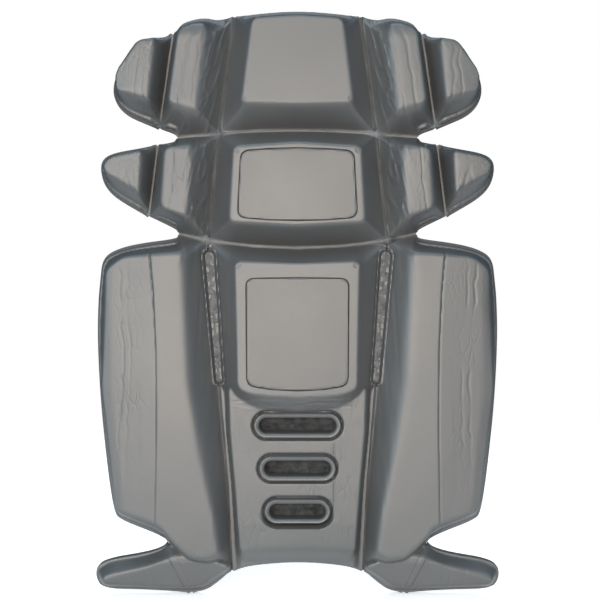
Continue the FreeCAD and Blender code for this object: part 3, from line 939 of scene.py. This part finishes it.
def foam(name, dark, light, roughness, grain, grain_depth, mottle=9.0, specular=0.5,
         creases=0.0):
    """Closed-cell foam: mottled grey, a fine grain and, on a skin, hairline creases. On the hinge
    webs the dark patches of the mottle are painted shade.
    """
    nodes = Nodes(name)
    place = nodes.add("ShaderNodeTexCoord").outputs["Object"]
    tone_and_shade_patches = nodes.noise(place, mottle, 4.0)
    speckle = nodes.noise(place, grain, 2.0, 0.7)
    tone_and_shade = nodes.add("ShaderNodeMix", {0: nodes.ramp(tone_and_shade_patches, 0.35, 0.65), 6: dark, 7: light},
                     data_type="RGBA")
    nodes.link(tone_and_shade.outputs[2], "Base Color")
    shine = nodes.add("ShaderNodeMath", {0: nodes.ramp(tone_and_shade_patches, 0.3, 0.7, -0.05, 0.05),
                                         1: nodes.ramp(speckle, 0.3, 0.7, roughness - 0.05,
                                                       roughness + 0.05)}, operation="ADD")
    nodes.link(shine.outputs[0], "Roughness")
    nodes.shader.inputs["Specular IOR Level"].default_value = specular
    normal = nodes.bump(speckle, 0.35, grain_depth)
    if creases:
        stretch = nodes.add("ShaderNodeMapping", {"Vector": place, "Scale": (1.0, 1.0, 0.35)})
        worn = nodes.add("ShaderNodeAttribute", attribute_name=CREASED).outputs["Fac"]
        for scale, depth in ((190.0, 0.00016), (430.0, 0.00008)):
            cracks = nodes.add("ShaderNodeTexVoronoi",
                               {"Vector": stretch.outputs[0], "Scale": scale},
                               feature="DISTANCE_TO_EDGE")
            lines = nodes.ramp(cracks.outputs["Distance"], 0.0, 0.10, -1.0, 0.0)
            where = nodes.ramp(nodes.noise(place, 0.2 * scale, 2.0), 0.47, 0.64)
            both = nodes.add("ShaderNodeMath", {0: worn, 1: where}, operation="MULTIPLY")
            height = nodes.add("ShaderNodeMath", {0: lines, 1: both.outputs[0]},
                               operation="MULTIPLY")
            normal = nodes.bump(height.outputs[0], creases, depth, normal)
    nodes.link(normal, "Normal")
    return nodes.material


def grey(value, warm=0.0):
    return (value * (1 + warm), value, value * (1 - warm), 1.0)


MATERIALS = {
    "moulded_foam": foam("moulded_foam_skin", grey(0.047), grey(0.06, 0.01), 0.46,
                         1500.0, 0.0001, specular=0.95, creases=1.0),
    "backing_foam": foam("backing_foam_sheet", grey(0.052), grey(0.066), 0.7, 700.0, 0.0004,
                         mottle=90.0, specular=0.5),
    "inlay_foam": foam("inlay_foam_panel", grey(0.052, 0.02), grey(0.064, 0.035), 0.48, 1900.0,
                       0.00012, specular=0.9),
    # The webs' wide dark-to-light mottle: its dark patches are painted shade of the grooves.
    "web_foam": foam("hinge_web_foam_and_shade", grey(0.03), grey(0.12), 0.5, 1100.0, 0.0001,
                     mottle=26.0, specular=0.6),
    # Darker grey for the strips deep in the spine's grooves: painted shade.
    "groove": foam("groove_foam_painted_shade", grey(0.02), grey(0.06), 0.62, 1100.0, 0.0001,
                   mottle=40.0, specular=0.35),
    "channel": foam("channel_floor_foam", grey(0.04), grey(0.10), 0.6, 900.0, 0.0005,
                    mottle=240.0, specular=0.5),
    # Near-black grey for the vent floors: painted shade of the deep holes.
    "vent": foam("vent_floor_painted_shade", grey(0.018), grey(0.05), 0.8, 700.0, 0.0006,
                 mottle=220.0, specular=0.25),
}


# ---------------------------------------- the object
def build_fronts():
    for cell in OUTLINES:
        for side in ((None,) if cell in CENTRAL else SIDES):
            front_piece(cell, side)
            backing_piece(cell, side)
    for cell in PANELS:
        inlay_piece(cell)


# Webs as the parent cell, the child cell, the groove points along them and the blobs that
# the moulding leaves at their two ends.
SIDE_WEBS = [
    ("upper_spine", "upper_rib", ["spine_top", "row_a_joint"], (0.0, 0.6)),
    ("middle_spine", "middle_rib", ["row_a_joint", "row_b_joint"], (0.6, 0.6)),
    ("lower_spine", "wing", ["row_b_joint", "waist", "low_waist", "spine_foot"], (0.8, 0.0)),
    ("upper_rib", "upper_lobe", ["rib_top", "rib_foot"], (0.3, 1.5)),
    ("middle_rib", "middle_lobe", ["lobe_top", "lobe_foot"], (1.0, 0.4)),
    ("wing", "tail", ["tail_top", "tail_foot"], (0.4, 0.4)),
]
SPINE_WEBS = [("middle_spine", "upper_spine", "row_a_mid", "row_a_joint"),
              ("lower_spine", "middle_spine", "row_b_mid", "row_b_joint")]
RIB_JOINS = [("upper_rib_join", "row_a_joint", "row_a_tip"),
             ("wing_join", "row_b_joint", "row_b_tip")]
# Some webs are thinner than the rest, by the groove point at their lower end.
WEB_FRONTS = {"waist": CHANNEL_FLOOR - 0.6, "low_waist": 5.7, "spine_foot": 5.7,
              "rib_foot": 5.9, "lobe_foot": 6.0}
END_TRIM = 0.8
PAST_JOINT = 1.3


def pulled_in(a, b, trim_a, trim_b):
    """The stretch between two points, shortened at either end."""
    a, b = np.array(a, float), np.array(b, float)
    along = (b - a) / np.linalg.norm(b - a)
    return a + along * trim_a, b - along * trim_b


def build_side_webs(side, sign):
    for parent, child, names, swell in SIDE_WEBS:
        bodies = (named(parent, None if parent in CENTRAL else side),
                  named(child, side))
        last = len(names) - 2
        for i in range(last + 1):
            a, b = pulled_in(POINTS[names[i]], POINTS[names[i + 1]],
                             END_TRIM if i == 0 else 0, END_TRIM if i == last else 0)
            shape = {"swell": (swell[0] * (i == 0), swell[1] * (i == last)),
                     "front": WEB_FRONTS.get(names[i + 1], WEB_FRONT)}
            # Strips beside the spine get the darker groove look, which is painted shade.
            if parent in CENTRAL:
                shape["look"] = "groove"
            if child == "tail":
                shape.update(follow="wing", crown=0.15, front=GROOVE_FLOOR,
                             look="moulded_foam")
            name = f"{child}_hinge_{side}" + (f"_{i + 1}" if last else "")
            web_piece(name, bodies, a, b, sign, f"{child}_web_{side}", **shape)


def build_spine_webs(side, sign):
    for parent, child, mid, joint in SPINE_WEBS:
        points = [POINTS[mid], bow(mid, joint, 0)[1][:2], POINTS[joint]]
        for i in range(2):
            past = PAST_JOINT if i == 1 else 0
            a, b = pulled_in(points[i], points[i + 1], 0, -past)
            web_piece(f"{child}_hinge_{side}_{i + 1}", (parent, child), a, b, sign,
                      f"{child}_web", swell=(0, 1.3 if i == 1 else 0))


def build_channel_floor(side, sign):
    """The rough foam at the bottom of the side slot."""
    (ax, az, ar), (bx, bz, br) = CHANNEL
    web_piece(f"channel_floor_{side}", ("lower_spine", f"wing_{side}"), (ax, az + ar),
              (bx, bz - br), sign, look="channel", slot="backing_foam",
              half=(ar + 0.5, br + 0.5), front=CHANNEL_FLOOR, rough=0.42, crown=0.2,
              back=0.4 * CHANNEL_FLOOR)


def build_vent_floors():
    """The rough foam that shows at the bottom of each vent, darkened as painted shade of the
    hole.
    """
    for number, (reach, height) in enumerate(VENTS, 1):
        radius = VENT_RADIUS - 0.5
        low, high = (-reach - radius, height - radius), (reach + radius, height + radius)
        flat, faces = region(lambda x, z: obround_distance(x, z, reach, height, radius), low,
                             high, GRID)
        x, z = flat[:, 0], flat[:, 1]
        depth = PARTING + 1.0 + 0.35 * noise(x, z, 4, 1.6, 41) + 0.25 * noise(x, z, 2, 1.1, 42)
        depth = depth + 1.1 * window(z - height, 0, 6, 0.5)
        points, all_faces = solid_from_region(flat, faces, depth,
                                              lambda ring: ([(0.0, PARTING + 0.05)], "bottom"))
        obj = new_object(f"vent_floor_{number}", points, all_faces)
        finish_piece(obj, "backing_foam", "vent", "lower_spine")


def build_rib_joins(side, sign):
    """Foam between the ribs and wings of neighbouring rows, which rides on the middle ribs."""
    for name, joint, tip in RIB_JOINS:
        start, end = pulled_in(POINTS[joint], POINTS[tip], PAST_JOINT + 0.2, 0.8)
        obj = strip(f"{name}_{side}", start, end, sign, swell=(1.3, 0))[0]
        finish_piece(obj, "web_foam", body=f"middle_rib_{side}")


def build_hinges():
    for side, sign in SIDES.items():
        build_side_webs(side, sign)
        build_spine_webs(side, sign)
        build_channel_floor(side, sign)
        build_rib_joins(side, sign)


build_fronts()
build_vent_floors()
build_hinges()


# ---------------------------------------- the set
def floor_material():
    """A pale floor that thins out with distance, so that its edge never shows."""
    nodes = Nodes("pale_floor")
    place = nodes.add("ShaderNodeTexCoord").outputs["Object"]
    nodes.link(nodes.ramp(nodes.noise(place, 5.0), 0.3, 0.7, 0.77, 0.83), "Roughness")
    away = nodes.add("ShaderNodeVectorMath", {0: place}, operation="LENGTH").outputs["Value"]
    nodes.link(nodes.ramp(away, 0.25, 1.0, 1.0, 0.0), "Alpha")
    nodes.shader.inputs["Base Color"].default_value = (0.87, 0.87, 0.87, 1)
    nodes.shader.inputs["Emission Color"].default_value = (1, 1, 1, 1)
    nodes.shader.inputs["Emission Strength"].default_value = 0.45
    return nodes.material


def make_floor():
    """A wide disc just under the tail tips."""
    radius, count, gap = 1.2, 96, 0.0005
    turns = np.arange(count) * 2 * math.pi / count
    ring = [(radius * math.cos(t), radius * math.sin(t), cad_low.z - gap) for t in turns]
    mesh = bpy.data.meshes.new("floor")
    mesh.from_pydata(ring, [], [tuple(range(count))])
    floor = bpy.data.objects.new("floor", mesh)
    bpy.context.scene.collection.objects.link(floor)
    mesh.materials.append(floor_material())


def area_light(name, place, target, size, power, color=(1, 1, 1)):
    data = bpy.data.lights.new(name, "AREA")
    data.shape = "DISK"
    data.size = size
    data.energy = power
    data.color = color
    light = bpy.data.objects.new(name, data)
    light.location = place
    aim = Vector(target) - Vector(place)
    light.rotation_euler = aim.to_track_quat("-Z", "Y").to_euler()
    bpy.context.scene.collection.objects.link(light)
    return light


def make_world(seen, cast, tint):
    """A pale surround that lights the object more softly than it shows."""
    world = bpy.data.worlds.new("surround")
    world.use_nodes = True
    tree = world.node_tree
    path = tree.nodes.new("ShaderNodeLightPath")
    mix = tree.nodes.new("ShaderNodeMix")
    mix.data_type = "RGBA"
    mix.inputs[6].default_value = tuple(cast * c for c in tint) + (1,)
    mix.inputs[7].default_value = (seen, seen, seen, 1)
    tree.links.new(path.outputs["Is Camera Ray"], mix.inputs[0])
    tree.links.new(mix.outputs[2], tree.nodes["Background"].inputs["Color"])
    bpy.context.scene.world = world


def make_camera():
    """Straight on, from a little under twice the pad's height away."""
    distance, seen_width, sensor = 0.70, 0.4352, 36.0
    x, height = 0.0018, 0.2111
    data = bpy.data.cameras.new("camera")
    data.sensor_width = sensor
    data.lens = sensor * distance / seen_width
    data.clip_start = 0.01
    camera = bpy.data.objects.new("camera", data)
    camera.location = (x, -distance, TAIL_TIP_Z + height)
    camera.rotation_euler = (math.pi / 2, 0, 0)
    bpy.context.scene.collection.objects.link(camera)
    bpy.context.scene.camera = camera


WARM, COOL = (1.0, 0.89, 0.79), (0.68, 0.87, 1.0)
make_floor()
area_light("key", (-0.16, -1.9, 0.24), (0, 0, 0.08), 1.45, 42, WARM)
area_light("left", (-1.25, -1.45, 0.45), (0, 0, 0.1), 1.0, 14, COOL)
area_light("right", (1.3, -1.3, 1.1), (0, 0, 0.2), 1.0, 8, COOL)
area_light("above", (-0.1, -0.5, 1.7), (0, 0, 0.1), 1.3, 14, COOL)
area_light("behind", (0.3, 1.8, 0.75), (0, 0.1, 0.0), 1.2, 42).visible_glossy = False
make_world(1.0, 0.16, (0.3, 0.7, 1.0))
make_camera()
bpy.context.scene.view_settings.view_transform = "Standard"
